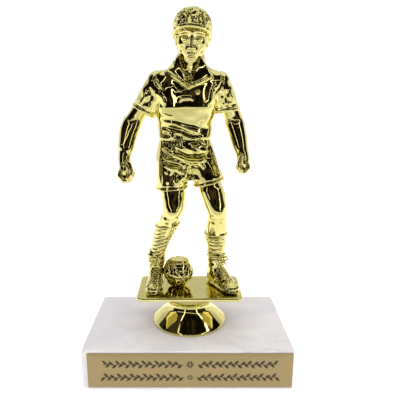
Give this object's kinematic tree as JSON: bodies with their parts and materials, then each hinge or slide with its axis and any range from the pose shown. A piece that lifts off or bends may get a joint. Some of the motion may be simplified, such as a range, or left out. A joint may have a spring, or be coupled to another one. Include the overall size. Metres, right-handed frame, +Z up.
{
  "type": "figure trophy",
  "caption": "Award trophy: a gold footballer with a ball at the feet on a rectangular deck and bell riser, bolted to a white marble block with a gold name plate.",
  "frame": {"origin": "under the middle of the base, on the surface the trophy stands on", "axes": "+Z up, +X along the base's long side to the right as the name plate is faced, +Y away from the name plate"},
  "size_m": [0.0888, 0.0508, 0.1573],
  "materials": {
    "white_marble": "polished",
    "gold_metallised_plastic": "mirror, vacuum metallised",
    "satin_gold_plate": "satin, engraved",
    "adhesive_tape": "matt",
    "zinc_plated_steel": "bright zinc",
    "felt": "felt"
  },
  "bodies": {
    "base": {"marble_base": "white_marble", "name_plate": "satin_gold_plate", "name_plate_tape": "adhesive_tape", "felt_pad_front_left": "felt", "felt_pad_rear_left": "felt", "felt_pad_front_right": "felt", "felt_pad_rear_right": "felt", "flat_washer": "zinc_plated_steel"},
    "figure": {"bell_riser": "gold_metallised_plastic", "deck": "gold_metallised_plastic", "ball": "gold_metallised_plastic", "player_front": "gold_metallised_plastic", "player_back": "gold_metallised_plastic", "captive_nut": "zinc_plated_steel", "hex_bolt": "zinc_plated_steel", "spring_washer": "zinc_plated_steel"}
  },
  "joints": [
    {"name": "figure_turn", "type": "hinge", "parent": "base", "child": "figure", "pos_m": [0.0008, 0.0025, 0.0188], "axis": [0, 0, 1], "continuous": true}
  ]
}
